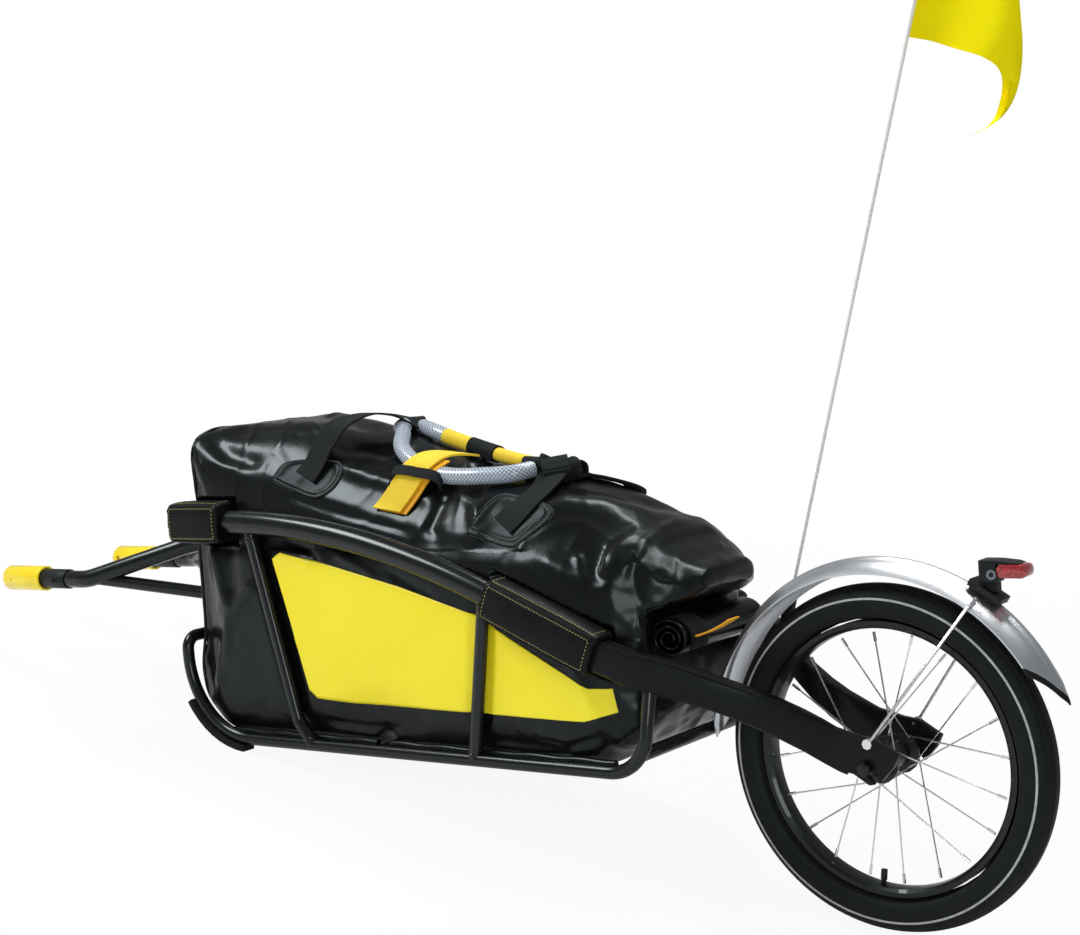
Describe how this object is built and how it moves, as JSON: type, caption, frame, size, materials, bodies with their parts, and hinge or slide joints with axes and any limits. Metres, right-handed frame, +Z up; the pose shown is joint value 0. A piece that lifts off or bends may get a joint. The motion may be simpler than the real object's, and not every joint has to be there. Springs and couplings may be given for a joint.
{
  "type": "single wheel touring trailer",
  "caption": "Single wheel touring bicycle trailer with a tubular frame, steering drawbar, mudguard, pennant and a long waterproof dry bag in the frame",
  "frame": {"origin": "middle of the box round the whole trailer, on the floor that its wheel and two front skids stand on", "axes": "+X runs rearwards from the couplers to the wheel, +Y to the right-hand side, +Z up; the trailer is parked nose down on its skids"},
  "size_m": [1.6198, 0.35, 1.1979],
  "materials": {
    "frame_paint": "gloss black powder coat",
    "arm_paint": "satin black powder coat",
    "tyre_rubber": "matte",
    "rubber": "matte",
    "rim_black": "black anodised",
    "steel": "polished",
    "mudguard_alloy": "satin silver",
    "yellow_anodised": "yellow anodised",
    "black_plastic": "satin",
    "lens_red": "clear red, gloss",
    "pole_white": "white fibreglass rod",
    "flag_cloth": "thin yellow woven cloth",
    "bag_cloth": "coated waterproof cloth, glossy",
    "panel_yellow": "printed panel, satin",
    "webbing_black": "woven webbing",
    "strap_yellow": "soft yellow cloth wrap",
    "hose_grey": "braided grey sleeve",
    "pad_leather": "dark padded wrap"
  },
  "bodies": {
    "trailer_frame": {"rail_front": "frame_paint", "base_front": "frame_paint", "rail_left": "frame_paint", "base_left": "frame_paint", "front_stay_left": "frame_paint", "mid_stay_left": "frame_paint", "arm_left": "arm_paint", "skid_left": "rubber", "rail_right": "frame_paint", "base_right": "frame_paint", "front_stay_right": "frame_paint", "mid_stay_right": "frame_paint", "arm_right": "arm_paint", "skid_right": "rubber", "floor_cross": "frame_paint", "rear_cross": "frame_paint", "rail_pad_front_left": "pad_leather", "rail_pad_rear_left": "pad_leather", "rail_pad_front_right": "pad_leather", "rail_pad_rear_right": "pad_leather", "king_pin": "steel", "axle": "steel", "fender": "mudguard_alloy", "fender_end_trim": "black_plastic", "fender_stay_left": "steel", "fender_stay_right": "steel", "light_bracket": "black_plastic", "light_housing": "black_plastic", "light_lens": "lens_red", "flag_socket": "black_plastic", "bag_body": "bag_cloth", "bag_roll_top": "bag_cloth", "side_panel_left": "panel_yellow", "side_panel_right": "panel_yellow", "handle_web_left": "webbing_black", "handle_web_right": "webbing_black", "hose_grip_right": "hose_grey", "hose_grip_left": "hose_grey", "grip_wrap": "strap_yellow"},
    "road_wheel": {"tyre": "tyre_rubber", "inner_tube": "rubber", "valve_cap": "black_plastic", "rim": "rim_black", "hub_and_spokes": "steel", "hub_bearing_left": "steel", "hub_bearing_right": "steel"},
    "drawbar": {"yoke_sleeve": "frame_paint", "steering_bush_upper": "black_plastic", "steering_bush_lower": "black_plastic", "yoke_left": "frame_paint", "yoke_right": "frame_paint", "coupler_left": "black_plastic", "coupler_right": "black_plastic", "coupler_spring_left": "steel", "coupler_spring_right": "steel"},
    "sleeve_left": {"coupler_sleeve_left": "yellow_anodised"},
    "sleeve_right": {"coupler_sleeve_right": "yellow_anodised"},
    "lever": {"quick_release_lever": "black_plastic"},
    "pennant": {"flag_pole": "pole_white", "flag": "flag_cloth"}
  },
  "joints": [
    {"name": "wheel_spin", "type": "hinge", "parent": "trailer_frame", "child": "road_wheel", "pos_m": [0.61052, 0, 0.19999], "axis": [0, 1, 0], "continuous": true},
    {"name": "drawbar_steer", "type": "hinge", "parent": "trailer_frame", "child": "drawbar", "pos_m": [-0.4416, 0, 0.19033], "axis": [-0.2038, 0, 0.979], "range_deg": [-60, 60]},
    {"name": "sleeve_left_slide", "type": "slide", "parent": "drawbar", "child": "sleeve_left", "axis": [0.979, 0, 0.2038], "range_m": [0, 0.0255], "stiffness_N_per_m": 500, "springref_m": -0.02, "deforming": ["coupler_spring_left"]},
    {"name": "sleeve_right_slide", "type": "slide", "parent": "drawbar", "child": "sleeve_right", "axis": [0.979, 0, 0.2038], "range_m": [0, 0.0255], "stiffness_N_per_m": 500, "springref_m": -0.02, "deforming": ["coupler_spring_right"]},
    {"name": "lever_open", "type": "hinge", "parent": "trailer_frame", "child": "lever", "pos_m": [0.61052, 0.0693, 0.19999], "axis": [-0.2229, 0, -0.9748], "range_deg": [0, 90]},
    {"name": "pennant_lift", "type": "slide", "parent": "trailer_frame", "child": "pennant", "axis": [0.0948, 0, 0.9955], "range_m": [0, 0.045]}
  ]
}
